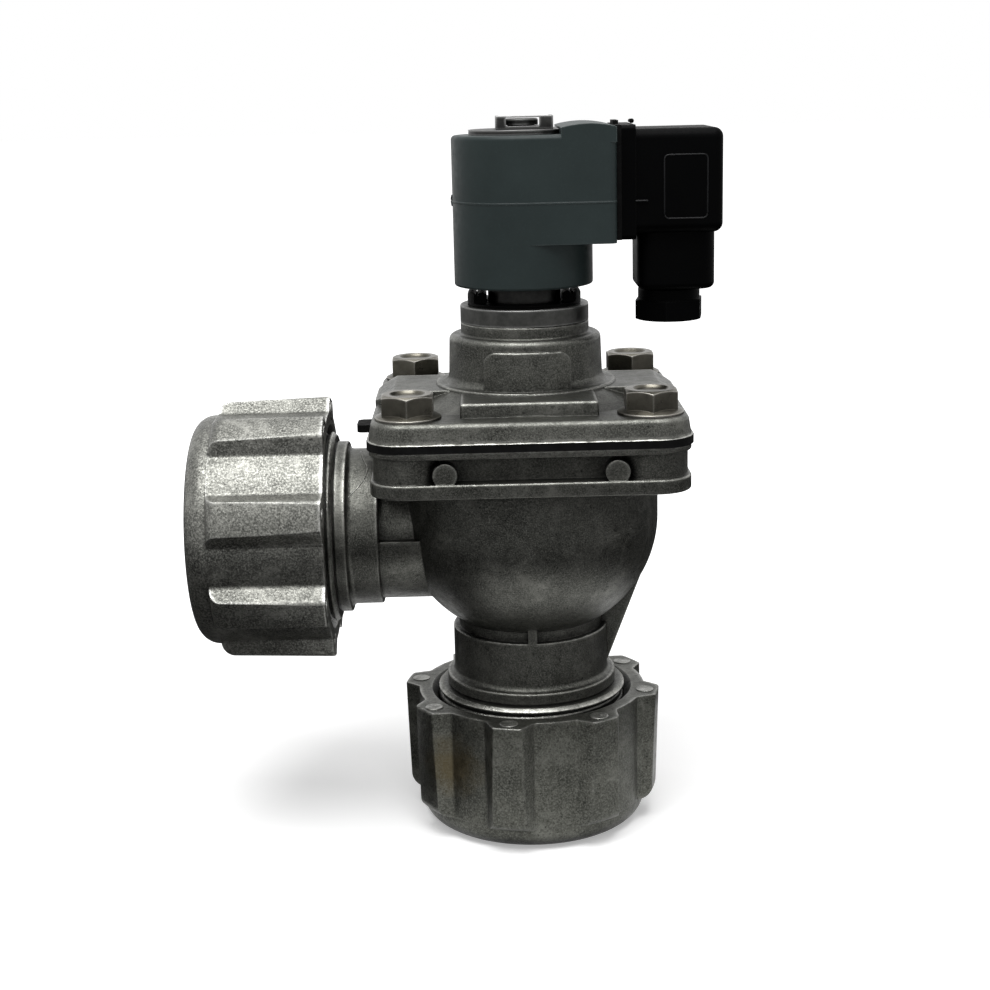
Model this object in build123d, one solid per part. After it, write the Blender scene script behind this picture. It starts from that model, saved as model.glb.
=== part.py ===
from build123d import *
import os
from math import atan, cos, degrees, hypot, radians, sin

# Right-angle pulse valve with dresser nuts and a solenoid pilot, for dust collectors.
# Millimetres. +Z is up and the origin is on the outlet's axis at the lower face of
# the outlet nut, which the valve stands on. The inlet points to -X, the plug to +X.

# Pipe ports, both alike. Heights run from the face of a nut that is fully on.
pipe_r = 33.7 / 2
pipe_gap = 0.25
port_hole_r = pipe_r + pipe_gap
socket_depth = 34.0
flow_r = 14.0
spigot_end = 12.0
spigot_end_round = 0.8
thread_r = 26.0
thread_depth = 0.7
thread_gap = 0.06
thread_top_len = 1.3
collar_z = 38.5
ring_chamfer = 0.9
collar_groove_h = 0.45
collar_groove_d = 0.5
collar_len = 3.3
collar_r = 23.4
neck_r = 21.35
neck_foot_round = 1.4
edge_round = 0.4

# Dresser nut
nut_len = 36.7
nut_wall = 5.5
nut_floor = 5.0
nut_edge_round = 5.6
nut_draft = 0.1
nut_mouth_step = 2.0
nut_mouth_depth = 2.2
rib_count = 8
rib_start = 6.5
rib_height = 4.2
rib_fall = 0.95
rib_base = 12.6
rib_crest = 7.8
rib_tip_round = 2.2
rib_root_round = 1.4
rib_end_round = 3.0
outlet_rib_angle = -102.5
inlet_rib_angle = -18.0

# Pipe seal: a steel washer and a rubber ring with a tapered nose
washer_t = 2.0
washer_rim_gap = 0.4
seal_rim_gap = 1.2
seal_seat_gap = 0.3
seal_cone_r = 22.4

# Body
inlet_z = 83.9
inlet_nut_off = 12.8
inlet_band_x = 40.2
inlet_neck_r = 20.0
inlet_recess_r = 17.4
inlet_ledge_up = 0.3
outlet_band_z = 55.4
outlet_neck_r = 19.8
bowl_z = 86.2
bowl_step = 5.5
bowl_flat = 1.7
wall = 4.4
seat_tube_wall = 2.6
seat_lip_r = 15.4
seat_lip_height = 1.6
web_t = 5.0
web_top_in = 4.2
web_top_z = 70.2
web_foot_z = 44.5
fin_w = 2.4
fin_out = 1.5

# Square flange
flange_z = 100.3
flange_low_t = 3.8
groove_h = 6.4
flange_top_t = 1.8
flange_half = 41.0
groove_depth = 4.8
corner_r = 9.0
column_r = 9.4
pin_boss_r = 3.1
pin_boss_x = 21.7
pin_boss_up = 2.2
pin_boss_depth = 0.5
plate_round = 0.5

# Diaphragm and cover
diaphragm_t = 2.0
diaphragm_out = 0.5
tab_w = 8.6
tab_y = -7.6
tab_out = 3.8
tab_round = 1.6
bleed_r = 1.0
bleed_x = 24.0
cover_t = 5.2
cover_taper_angle = 9.0
cover_edge_round = 1.5
plateau_h = 3.7
cone_top_r = 23.4
cone_low_r = 34.0
arm_half = 13.2
arm_step = 0.7
arm_end_slope = 5.0
arm_end_rise = 1.0
arm_corner_r = 5.0
pad_half = 17.75
pad_step = 7.7
arm_round = 0.8
tower_h = 13.4
tower_r = 20.7
tower_fall = 0.45
tower_edge_round = 1.5
tower_foot_r = 24.2
tower_foot_h = 0.6
tower_foot_round = 2.0
collar_top_r = 17.16
collar_top_h = 3.15
name_pad_half = 11.4
name_pad_drop = 2.6
name_pad_out = 1.6
name_pad_round = 3.6
chamber_in = 12.0
chamber_step = 1.2
tower_wall = 2.7
spring_bore_h = 6.7
tower_roof_t = 5.6

# Cover bolts, M8 with a flange
bolt_edge = 10.2
bolt_r = 4.0
bolt_hole_gap = 0.5
tap_gap = 0.03
bolt_len = 17.5
bolt_flange_r = 8.5
bolt_flange_t = 1.2
bolt_hex = 13.0
bolt_angle = 30.0
bolt_head_h = 6.4
bolt_dish_r = 4.6
bolt_dish_h = 0.7

# Moving middle of the diaphragm
middle_gap = 0.3
seat_disc_r = 16.2
plate_r = 15.6
plate_t = 1.6
seat_washer_r = 12.6
seat_washer_t = 1.6
rivet_r = 3.0
rivet_head_r = 4.6
rivet_head_h = 1.2
main_spring_r = 13.0
main_wire_r = 0.6
main_turns = 4.5
spring_seat_gap = 0.05

# Pilot
base_spigot_r = 11.0
base_spigot_gap = 0.03
base_h = 4.65
base_pocket_r = 9.0
base_pocket_h = 5.8
nozzle_h = 3.0
nozzle_r = 1.8
nozzle_foot_r = 2.6
orifice_r = 0.9
pilot_way_r = 2.0
pilot_seal_r = 13.4
pilot_seal_wire = 0.9
tube_r = 6.6
tube_wall = 0.55
tube_flange_r = 8.7
tube_flange_t = 1.2
tube_seal_wire = 0.85
tube_nut_r = 9.7
tube_nut_slot = 1.8
tube_nut_slot_h = 3.6
ring_r = 15.1
ring_t = 0.8
ear_half = 7.0
ear_h = 3.7
ear_bump_r = 1.25
plunger_gap = 0.05
plunger_foot = 1.0
plunger_lift = 2.0
plunger_seal_r = 3.4
plunger_seal_t = 2.5
plunger_bore_r = 3.2
plunger_bore_h = 12.0
plunger_wire_r = 0.35
plunger_spring_r = 2.5
plunger_turns = 6
core_stub_r = 4.5
core_groove_r = 3.6
core_groove_h = 1.0
core_h = 16.6
core_stub_h = 4.0

# Coil
coil_r = 18.44
coil_foot_h = 5.1
coil_h = 39.1
coil_edge_round = 1.1
coil_foot_round = 0.6
coil_bore_gap = 0.1
block_h = 27.5
block_out = 5.26
block_round = 2.0
head_x = 9.6
head_h = 2.7
head_dome = 0.9
seam_drop = 17.0
seam_out = 0.12
seam_h = 0.4
coil_wall = 1.84
yoke_t = 1.2
yoke_gap = 0.1
bobbin_t = 1.1
winding_in = 1.4
winding_gap = 0.1
coil_washer_r = 13.8
coil_washer_t = 1.3
clip_t = 0.8
clip_x0 = -6.7
clip_x1 = 8.2
clip_half_y = 6.5
clip_h = 3.4
clip_window_x0 = -4.0
clip_window_x1 = 4.6

# Plug and cable gland
plug_drop = 12.5
plug_face_half = 14.5
gasket_t = 1.4
gasket_lip = 1.0
skirt_len = 3.7
plug_len = 26.3
plug_below = 13.1
plug_above = 13.4
plug_half_y = 14.0
plug_round = 2.4
pocket_half = 11.0
plug_back_t = 4.8
insert_gap = 0.25
insert_len = 18.7
insert_way_gap = 0.5
blade_w = 6.3
blade_t = 0.8
blade_pitch = 18.0
blade_reach = 9.5
blade_root = 3.0
blade_gap = 0.1
screw_r = 1.5
screw_gap = 0.2
screw_head_r = 2.8
screw_head_h = 2.0
screw_in = 3.2
screw_slot = 0.7
gland_out = 13.6
gland_block_back = 9.1
gland_block_front = 11.3
gland_block_h = 15.0
gland_block_half = 11.0
gland_block_round = 1.6
gland_block_corner = 5.0
cable_hole_r = 4.25
gland_thread_r = 7.0
gland_thread_h = 6.5
gland_gap = 0.3
gland_angle = 20.0
gland_neck_r = 8.2
gland_hex = 17.0
gland_hex_drop = 8.7
gland_hex_h = 5.4
gland_washer_t = 1.0
gland_seal_h = 5.1

# Heights and radii that follow
spigot_r = thread_r - thread_depth
nut_bore_r = thread_r + thread_gap
nut_r = thread_r + nut_wall
nut_mouth_r = thread_r + nut_mouth_step
rib_len = nut_len - rib_start
socket_cone_z = spigot_end + seal_cone_r - port_hole_r
groove_z = flange_z + flange_low_t
face_z = groove_z + groove_h + flange_top_t
cover_z = face_z + diaphragm_t
seat_z = cover_z + cover_t
plateau_z = seat_z + plateau_h
flange_core_half = flange_half - groove_depth
bolt_at = flange_half - bolt_edge
arm_reach = flange_half - arm_step
pad_reach = flange_half - pad_step
bowl_r = flange_half - bowl_step
bowl_depth = bowl_r - bowl_flat
inlet_reach = flange_half + inlet_nut_off + nut_len
web_top_x = bowl_r - web_top_in
inlet_ledge_z = inlet_z + inlet_ledge_up
tower_z = plateau_z + tower_h
name_pad_z = tower_z - name_pad_drop
collar_top_z = tower_z + collar_top_h
chamber_r = flange_half - chamber_in
spring_bore_r = tower_r - tower_wall
spring_bore_z = cover_z + spring_bore_h
spring_roof_z = tower_z - tower_roof_t
middle_hole_r = seat_disc_r + middle_gap
base_flange_z = collar_top_z
base_top_z = base_flange_z + base_h
base_floor_z = base_top_z - base_pocket_h
nozzle_top_z = base_floor_z + nozzle_h
ear_z = base_top_z + ear_h
tube_bore_r = tube_r - tube_wall
plunger_r = tube_bore_r - plunger_gap
coil_z = base_top_z + coil_foot_h
coil_top_z = coil_z + coil_h
washer_top_z = coil_top_z + coil_washer_t
head_top_z = coil_top_z + head_h
clip_top_z = washer_top_z + clip_h
core_top_z = coil_top_z + core_stub_h
fixed_core_z = coil_top_z - core_h
plunger_z = fixed_core_z - plunger_lift
plunger_bore_z = plunger_z - plunger_bore_h
coil_bore_r = tube_r + coil_bore_gap
yoke_r = coil_r - coil_wall
winding_r = yoke_r - yoke_t - winding_in
block_x = coil_r + block_out
block_z = coil_top_z - block_h
seam_z = coil_top_z - seam_drop
gasket_x = block_x + gasket_t
skirt_x = gasket_x + skirt_len
plug_x = gasket_x + plug_len
plug_z = coil_top_z - plug_drop
plug_low_z = plug_z - plug_below
plug_top_z = plug_z + plug_above
pocket_x = plug_x - plug_back_t
insert_x = gasket_x + insert_len
screw_end_x = block_x - screw_in
gland_x = gasket_x + gland_out
gland_block_x0 = gland_x - gland_block_back
gland_block_x1 = gland_x + gland_block_front
gland_block_z = plug_low_z - gland_block_h
gland_hex_z = gland_block_z - gland_hex_drop
gland_thread_z = gland_block_z + gland_thread_h
gland_seal_z = gland_thread_z + gland_washer_t + gland_seal_h
inlet_place = Plane(origin=(-inlet_reach, 0, inlet_z), x_dir=(0, -1, 0), z_dir=(1, 0, 0)).location


def turned(*corners):
    """Solid turned about Z from (radius, height) or (radius, height, rounding) corners."""
    points = [corner[:2] for corner in corners]
    rounds = [corner[2] if len(corner) > 2 else 0 for corner in corners]
    return revolve(Plane.XZ * make_face(FilletPolyline(*points, radius=rounds, close=True)), Axis.Z)


def flat(*points):
    """Face inside straight lines between points."""
    return make_face(Polyline(*points, close=True))


def disc(radius, low, high):
    """Upright cylinder between two heights."""
    return Pos(0, 0, low) * Cylinder(radius, high - low, align=(Align.CENTER, Align.CENTER, Align.MIN))


def block(x0, x1, y0, y1, z0, z1):
    """Box between two corners."""
    return Pos(x0, y0, z0) * Box(x1 - x0, y1 - y0, z1 - z0, align=Align.MIN)


def square_plate(half, low, high, rounding):
    """Square plate with the flange's corners and a small round on both rims."""
    plate = Pos(0, 0, low) * extrude(RectangleRounded(2 * half, 2 * half, corner_r), high - low)
    if rounding:
        rims = plate.edges().group_by(Axis.Z)[0] + plate.edges().group_by(Axis.Z)[-1]
        plate = fillet(rims, rounding)
    return plate


def bolt_places():
    """The four cover bolts, seen from above."""
    return [Pos(x, y, 0) for x in (-bolt_at, bolt_at) for y in (-bolt_at, bolt_at)]


def bowl(radius, depth, top):
    """Half an ellipsoid with an upright wall over it."""
    arc = EllipticalCenterArc((0, bowl_z), radius, depth, start_angle=270, arc_size=90)
    rim = Polyline((radius, bowl_z), (radius, top), (0, top), (0, bowl_z - depth))
    return revolve(Plane.XZ * make_face(arc + rim), Axis.Z)


def rib_outline():
    """Nut's outline across the ribs, as one face."""
    tip = nut_r + rib_height
    root_half = rib_base - rib_crest / 2
    rib = flat((nut_r - rib_height, -root_half), (tip, -rib_crest / 2), (tip, rib_crest / 2),
               (nut_r - rib_height, root_half))
    outline = Sketch() + Circle(nut_r)
    for index in range(rib_count):
        outline += Rot(0, 0, index * 360 / rib_count) * rib
    tips = [v for v in outline.vertices() if hypot(v.X, v.Y) > nut_r + rib_height / 2]
    outline = fillet(tips, rib_tip_round)
    roots = [v for v in outline.vertices() if hypot(v.X, v.Y) < nut_r + rib_height / 10]
    return fillet(roots, rib_root_round)


def port_nut(turn):
    """Dresser nut with its closed end at z = 0 and its mouth upwards."""
    rib_low = nut_len - rib_len
    tip = nut_r + rib_height
    low_r = nut_r - nut_draft
    envelope = turned((0, 0), (low_r, 0, nut_edge_round), (low_r, rib_low), (tip - rib_fall, rib_low, rib_end_round),
                      (tip, nut_len, edge_round), (0, nut_len))
    nut = Rot(0, 0, turn) * extrude(rib_outline(), nut_len) & envelope
    return nut - turned((0, -1), (port_hole_r, -1), (port_hole_r, nut_floor), (nut_bore_r, nut_floor),
                        (nut_bore_r, nut_len - nut_mouth_depth), (nut_mouth_r, nut_len),
                        (nut_mouth_r, nut_len + 1), (0, nut_len + 1))


def port_washer():
    """Steel washer on the nut's floor."""
    rim = nut_bore_r - washer_rim_gap
    return disc(rim, nut_floor, nut_floor + washer_t) - disc(port_hole_r, nut_floor, nut_floor + washer_t)


def port_seal():
    """Rubber ring whose tapered nose lies in the spigot's cone."""
    low = nut_floor + washer_t
    shoulder = spigot_end - seal_seat_gap
    nose_r = seal_cone_r - seal_seat_gap
    tip = shoulder + nose_r - port_hole_r - 1
    return turned((port_hole_r, low), (nut_bore_r - seal_rim_gap, low), (nut_bore_r - seal_rim_gap, shoulder),
                  (nose_r, shoulder), (port_hole_r + 1, tip), (port_hole_r, tip))


def port_outside(band_top):
    """Outside of a port, from the spigot's end up to the top of its band."""
    collar_top = collar_z + collar_len
    return turned((0, spigot_end), (spigot_r, spigot_end, spigot_end_round), (spigot_r, collar_z - thread_top_len),
                  (thread_r, collar_z - thread_top_len), (thread_r, collar_z - ring_chamfer),
                  (thread_r - ring_chamfer, collar_z), (collar_r - collar_groove_d, collar_z),
                  (collar_r - collar_groove_d, collar_z + collar_groove_h), (collar_r, collar_z + collar_groove_h),
                  (collar_r, collar_top, edge_round), (neck_r, collar_top, neck_foot_round),
                  (neck_r, band_top, edge_round), (0, band_top))


def port_inside(top):
    """Pipe socket with the seal's cone at its mouth, and the bore behind it."""
    return turned((0, spigot_end - 1), (seal_cone_r + 1, spigot_end - 1), (port_hole_r, socket_cone_z),
                  (port_hole_r, socket_depth), (flow_r, socket_depth), (flow_r, top), (0, top))


def inlet_neck():
    """Neck between the inlet's band and the bowl: full below the ledge, waisted above it."""
    length = inlet_reach
    low = disc(inlet_neck_r, inlet_reach - inlet_band_x - 1, length)
    low = inlet_place * low - block(-inlet_reach, 0, -bowl_r, bowl_r, inlet_ledge_z, inlet_z + bowl_r)
    return low + inlet_place * disc(inlet_recess_r, inlet_reach - inlet_band_x - 1, length)


def body_flange():
    """Two square plates with a groove between, bolt columns and pin bosses."""
    flange = square_plate(flange_half, flange_z, groove_z, plate_round)
    flange += square_plate(flange_half, groove_z + groove_h, face_z, plate_round)
    flange += Pos(0, 0, flange_z + plate_round) * extrude(
        RectangleRounded(2 * flange_core_half, 2 * flange_core_half, corner_r), face_z - flange_z - 2 * plate_round)
    for place in bolt_places():
        flange += place * disc(column_r, flange_z + plate_round, face_z - plate_round)
    boss = Plane.XZ * Circle(pin_boss_r)
    for x in (-pin_boss_x, pin_boss_x):
        flange += Pos(x, 0, groove_z + pin_boss_up) * extrude(boss, flange_half - pin_boss_depth, both=True)
    return flange


def gusset():
    """Upright web between bowl and outlet neck, on the side away from the inlet."""
    web = flat((0, bowl_z), (web_top_x, web_top_z), (neck_r, web_foot_z), (0, web_foot_z))
    return extrude(Plane.XZ * web, web_t / 2, both=True)


def valve_body():
    """Die-cast right-angle body."""
    body = bowl(bowl_r, bowl_depth, face_z - plate_round)
    body += port_outside(outlet_band_z)
    body += disc(outlet_neck_r, outlet_band_z - 1, bowl_z)
    body += inlet_place * port_outside(inlet_reach - inlet_band_x)
    body += inlet_neck()
    body += gusset()
    for side in (-1, 1):
        fin_y = sorted((side * outlet_neck_r * 0.8, side * (outlet_neck_r + fin_out)))
        body += block(-fin_w / 2, fin_w / 2, *fin_y, outlet_band_z - 1, bowl_z - bowl_depth / 2)
    body += body_flange()
    body -= bowl(bowl_r - wall, bowl_depth - wall, face_z + 1)
    body -= inlet_place * port_inside(inlet_reach - flow_r - seat_tube_wall)
    seat_tube = turned((0, bowl_z - bowl_depth + wall / 2), (flow_r + seat_tube_wall, bowl_z - bowl_depth + wall / 2),
                       (flow_r + seat_tube_wall, face_z - seat_lip_height), (seat_lip_r, face_z - seat_lip_height),
                       (seat_lip_r, face_z, edge_round), (0, face_z))
    body += seat_tube
    body -= port_inside(face_z + 1)
    for place in bolt_places():
        body -= place * disc(bolt_r + tap_gap, flange_z - 1, face_z + 1)
    return body


def diaphragm():
    """Rubber sheet clamped between body and cover, with its locating tab and bleed hole."""
    half = flange_half + diaphragm_out
    sheet = Sketch() + RectangleRounded(2 * half, 2 * half, corner_r)
    tab = Rectangle(2 * tab_out, tab_w)
    sheet += Pos(-half, tab_y) * fillet(tab.vertices().group_by(Axis.X)[0], tab_round)
    sheet -= Circle(middle_hole_r)
    sheet -= Pos(bleed_x, 0) * Circle(bleed_r)
    for place in bolt_places():
        sheet -= place * Circle(bolt_r + bolt_hole_gap)
    return Pos(0, 0, face_z) * extrude(sheet, diaphragm_t)


def arm(half_x, half_y):
    """One bar of the plateau's cross."""
    bar = Pos(0, 0, seat_z - 1) * extrude(Rectangle(2 * half_x, 2 * half_y), plateau_h + 1, taper=4)
    return fillet(bar.edges().group_by(Axis.Z)[-1] + bar.edges().filter_by(GeomType.LINE).group_by(Axis.Z)[1],
                  arm_round)


def sloped_arm():
    """Side bar of the cross, whose ends slope down to the plate's edge."""
    low = seat_z - 1
    end_z = seat_z + arm_end_rise
    run = arm_reach - arm_end_slope
    side = flat((-arm_reach, low), (arm_reach, low), (arm_reach, end_z), (run, plateau_z),
                (-run, plateau_z), (-arm_reach, end_z))
    plan = extrude(RectangleRounded(2 * arm_reach, 2 * arm_half, arm_corner_r), plateau_z - low)
    return extrude(Plane.XZ * side, arm_half, both=True) & (Pos(0, 0, low) * plan)


def tower():
    """Round tower on the cover, with the collar that the pilot stands on."""
    foot = plateau_z + tower_foot_h
    return turned((0, plateau_z - 2), (tower_foot_r, plateau_z - 2), (tower_foot_r, foot, edge_round),
                  (tower_r, foot, tower_foot_round), (tower_r - tower_fall, tower_z, tower_edge_round),
                  (collar_top_r, tower_z, edge_round), (collar_top_r, collar_top_z, edge_round / 2),
                  (0, collar_top_z))


def name_pad():
    """Raised curved pad on the tower's front, left bare."""
    front = Rectangle(2 * name_pad_half, 2 * (name_pad_z - plateau_z))
    front = fillet(front.vertices(), name_pad_round)
    pad = extrude(Plane.XZ * Pos(0, plateau_z) * front, 2 * tower_r)
    drum = turned((0, plateau_z), (tower_r + name_pad_out, plateau_z),
                  (tower_r + name_pad_out - tower_fall, name_pad_z, edge_round), (0, name_pad_z))
    return pad & drum


def cover():
    """Die-cast cover: plate, cross, tower and spring chamber."""
    plate = extrude(RectangleRounded(2 * flange_half, 2 * flange_half, corner_r), cover_t, taper=cover_taper_angle)
    plate = Pos(0, 0, cover_z) * fillet(plate.edges().group_by(Axis.Z)[-1], cover_edge_round)
    cone = turned((0, cover_z + 1), (cone_low_r, cover_z + 1), (cone_low_r, seat_z), (cone_top_r, plateau_z),
                  (0, plateau_z))
    top = plate + cone + arm(pad_half, pad_reach) + sloped_arm() + tower() + name_pad()
    chamber = turned((0, cover_z - 1), (chamber_r, cover_z - 1), (chamber_r, cover_z + chamber_step),
                     (spring_bore_r, spring_bore_z), (spring_bore_r, spring_roof_z, 1.0),
                     (base_spigot_r + base_spigot_gap, spring_roof_z),
                     (base_spigot_r + base_spigot_gap, collar_top_z + 1), (0, collar_top_z + 1))
    top -= chamber
    top -= disc(pilot_seal_r + 2 * pilot_seal_wire, collar_top_z - 2 * pilot_seal_wire, collar_top_z + 1)
    for place in bolt_places():
        top -= place * disc(bolt_r + bolt_hole_gap, cover_z - 1, plateau_z)
    return top


def hexagon(across, turn):
    """Hexagon by its width across flats, turned from a corner on X."""
    return RegularPolygon(across / 2, 6, major_radius=False, rotation=turn)


def bolt():
    """Flange bolt with its seat at z = 0."""
    head = Pos(0, 0, bolt_flange_t / 2) * extrude(hexagon(bolt_hex, bolt_angle), bolt_head_h - bolt_flange_t / 2)
    corner = bolt_hex / 2 / cos(radians(30))
    head &= turned((0, 0), (corner + 1, 0), (corner + 1, bolt_head_h - 1.1), (bolt_hex / 2 - 0.4, bolt_head_h),
                   (bolt_dish_r, bolt_head_h), (bolt_dish_r - 0.6, bolt_head_h - bolt_dish_h),
                   (0, bolt_head_h - bolt_dish_h))
    skirt = turned((0, 0), (bolt_flange_r, 0), (bolt_flange_r, bolt_flange_t / 2, 0.2),
                   (bolt_hex / 2, bolt_flange_t + 0.4), (0, bolt_flange_t + 0.4))
    shank = turned((0, -bolt_len), (bolt_r - 0.6, -bolt_len), (bolt_r, -bolt_len + 0.6), (bolt_r, 0), (0, 0))
    return head + skirt + shank


def cover_bolts():
    """The four bolts that hold the cover."""
    return [place * Pos(0, 0, seat_z) * bolt() for place in bolt_places()]


def spring(radius, wire, turns, low, high):
    """Compression spring between two seats, its wire's ends kept just inside them."""
    rise = high - low - 2 * wire
    path = Pos(0, 0, low + wire) * Helix(rise / turns, rise, radius)
    section = Plane(origin=path @ 0, z_dir=path % 0) * Circle(wire)
    return sweep(section, path=path)


def seat_disc():
    """Rubber disc in the diaphragm's middle that closes on the seat."""
    return disc(seat_disc_r, face_z, cover_z) - disc(rivet_r, face_z, cover_z)


def diaphragm_plate():
    """Dished steel plate that the main spring presses on."""
    return turned((rivet_r, cover_z), (plate_r, cover_z), (plate_r, cover_z + plate_t, 0.6),
                  (rivet_r, cover_z + plate_t))


def seat_washer():
    """Steel washer under the seat disc, inside the bore."""
    return disc(seat_washer_r, face_z - seat_washer_t, face_z) - disc(rivet_r, face_z - seat_washer_t, face_z)


def diaphragm_rivet():
    """Rivet through plate, disc and washer."""
    low = face_z - seat_washer_t
    high = cover_z + plate_t
    return turned((0, low - rivet_head_h), (rivet_head_r, low - rivet_head_h, 0.6), (rivet_head_r, low),
                  (rivet_r, low), (rivet_r, high), (rivet_head_r, high),
                  (rivet_head_r, high + rivet_head_h, 0.6), (0, high + rivet_head_h))


def main_spring():
    """Spring between the diaphragm's plate and the roof of the tower."""
    return spring(main_spring_r, main_wire_r, main_turns, cover_z + plate_t + spring_seat_gap,
                  spring_roof_z - spring_seat_gap)


def pilot_base():
    """Turned base of the pilot, with the nozzle that the plunger closes."""
    return turned((pilot_way_r, spring_roof_z), (base_spigot_r, spring_roof_z), (base_spigot_r, base_flange_z),
                  (collar_top_r, base_flange_z, edge_round / 2), (collar_top_r, base_top_z, edge_round),
                  (base_pocket_r, base_top_z), (base_pocket_r, base_floor_z), (nozzle_foot_r, base_floor_z),
                  (nozzle_r, nozzle_top_z), (orifice_r, nozzle_top_z), (orifice_r, base_floor_z - 0.6),
                  (pilot_way_r, base_floor_z - 0.6))


def o_ring(radius, wire, low):
    """O-ring lying on a height."""
    return Pos(0, 0, low + wire) * Torus(radius, wire)


def pilot_seal():
    """O-ring in the groove of the collar, under the pilot's base."""
    return o_ring(pilot_seal_r, pilot_seal_wire, base_flange_z - 2 * pilot_seal_wire)


def guide_tube():
    """Thin tube with a foot flange, in which the plunger slides."""
    flange_top = base_floor_z + tube_flange_t
    return turned((tube_bore_r, base_floor_z), (tube_flange_r, base_floor_z), (tube_flange_r, flange_top),
                  (tube_r, flange_top), (tube_r, coil_top_z), (tube_bore_r, coil_top_z))


def tube_seal():
    """O-ring over the tube's flange."""
    return o_ring(tube_r + tube_seal_wire + 0.1, tube_seal_wire, base_floor_z + tube_flange_t)


def tube_nut():
    """Dark nut that clamps the tube's flange and carries the coil, slotted for vent and key."""
    low = base_floor_z + tube_flange_t + 2 * tube_seal_wire
    nut = turned((tube_r, low), (base_pocket_r - tap_gap, low), (base_pocket_r - tap_gap, base_top_z),
                 (tube_nut_r, base_top_z), (tube_nut_r, coil_z), (tube_r, coil_z))
    return nut - block(-tube_nut_r, tube_nut_r, -tube_nut_slot / 2, tube_nut_slot / 2, coil_z - tube_nut_slot_h, coil_z)


def dust_ring():
    """Plastic ring round the tube nut, with two double-ridged ears."""
    inner = tube_nut_r + middle_gap
    ring = disc(ring_r, base_top_z, base_top_z + ring_t)
    ridge_z = ear_z - ear_bump_r
    ridge = Plane.XZ * Circle(ear_bump_r)
    for side in (-1, 1):
        low_x, high_x = sorted((side * inner, side * ring_r))
        ear = block(low_x, high_x, -ear_half, ear_half, base_top_z, ridge_z)
        for x in (inner + ear_bump_r, ring_r - ear_bump_r):
            ear += Pos(side * x, 0, ridge_z) * extrude(ridge, ear_half, both=True)
        ring += ear & disc(ring_r, base_top_z, ear_z)
    return ring - disc(inner, base_top_z - 1, ear_z + 1)


def plunger():
    """Steel plunger with its seal at the foot and the spring's bore at the top."""
    low = nozzle_top_z + plunger_foot
    seal_top = nozzle_top_z + plunger_seal_t
    return turned((plunger_seal_r, low), (plunger_r, low, 0.5), (plunger_r, plunger_z, 0.4),
                  (plunger_bore_r, plunger_z), (plunger_bore_r, plunger_bore_z), (0, plunger_bore_z),
                  (0, seal_top), (plunger_seal_r, seal_top))


def plunger_seal():
    """Rubber pad that closes the nozzle."""
    return disc(plunger_seal_r, nozzle_top_z, nozzle_top_z + plunger_seal_t)


def plunger_spring():
    """Spring that pushes the plunger off the fixed core."""
    return spring(plunger_spring_r, plunger_wire_r, plunger_turns, plunger_bore_z + spring_seat_gap,
                  fixed_core_z - spring_seat_gap)


def fixed_core():
    """Core in the top of the guide tube, with the clip's groove on its stub."""
    groove_top = washer_top_z + core_groove_h
    return turned((0, fixed_core_z), (tube_bore_r, fixed_core_z), (tube_bore_r, coil_top_z),
                  (core_stub_r, coil_top_z), (core_stub_r, washer_top_z), (core_groove_r, washer_top_z),
                  (core_groove_r, groove_top), (core_stub_r, groove_top), (core_stub_r, core_top_z, 0.6),
                  (0, core_top_z))


def coil_outline():
    """Coil's plan where it carries the plug: a disc run out to a square block."""
    front = RectangleRounded(2 * block_x, 2 * coil_r - 0.02, block_round)
    return Circle(coil_r) + (front & Pos(block_x / 2, 0) * Rectangle(block_x, 2 * coil_r))


def coil_head():
    """Low domed head of the coil over the plug's block."""
    rise = head_top_z - coil_top_z
    dome = ThreePointArc((head_x, coil_top_z + rise - head_dome), ((head_x + block_x) / 2, head_top_z),
                         (block_x, coil_top_z + rise - head_dome))
    sides = Polyline((block_x, coil_top_z + rise - head_dome), (block_x, coil_top_z - coil_edge_round - 1),
                     (head_x, coil_top_z - coil_edge_round - 1), (head_x, coil_top_z + rise - head_dome))
    return extrude(Plane.XZ * make_face(dome + sides), coil_r - 0.01, both=True)


def coil_housing():
    """Moulded coil: upright drum, plug block, head and parting seam."""
    drum = turned((0, coil_z), (coil_r, coil_z, coil_foot_round), (coil_r, coil_top_z, coil_edge_round),
                  (0, coil_top_z))
    shoulder = Pos(0, 0, block_z) * extrude(coil_outline(), coil_top_z - block_z)
    shoulder = fillet(shoulder.edges().group_by(Axis.Z)[-1], coil_edge_round)
    seam = Pos(0, 0, seam_z - seam_h / 2) * extrude(offset(coil_outline(), seam_out), seam_h)
    housing = drum + shoulder + coil_head() + (seam - block(block_x, plug_x, -coil_r, coil_r, coil_z, coil_top_z))
    can = yoke_r + yoke_gap
    housing -= disc(can, coil_z + yoke_t, coil_top_z - yoke_t)
    housing -= disc(coil_bore_r, coil_z - 1, coil_top_z + 1)
    housing -= disc(coil_washer_r + yoke_gap, coil_top_z, head_top_z) & block(
        -coil_r, head_x, -coil_r, coil_r, coil_top_z, head_top_z)
    for blade in blades():
        housing -= blade
    return housing - screw_hole(screw_r, screw_end_x - 1, block_x + 1)


def coil_yoke():
    """Steel can round the winding."""
    low = coil_z + yoke_t
    high = coil_top_z - yoke_t
    return turned((coil_bore_r, low), (yoke_r, low), (yoke_r, high), (coil_bore_r, high), (coil_bore_r, high - yoke_t),
                  (yoke_r - yoke_t, high - yoke_t), (yoke_r - yoke_t, low + yoke_t), (coil_bore_r, low + yoke_t))


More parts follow.
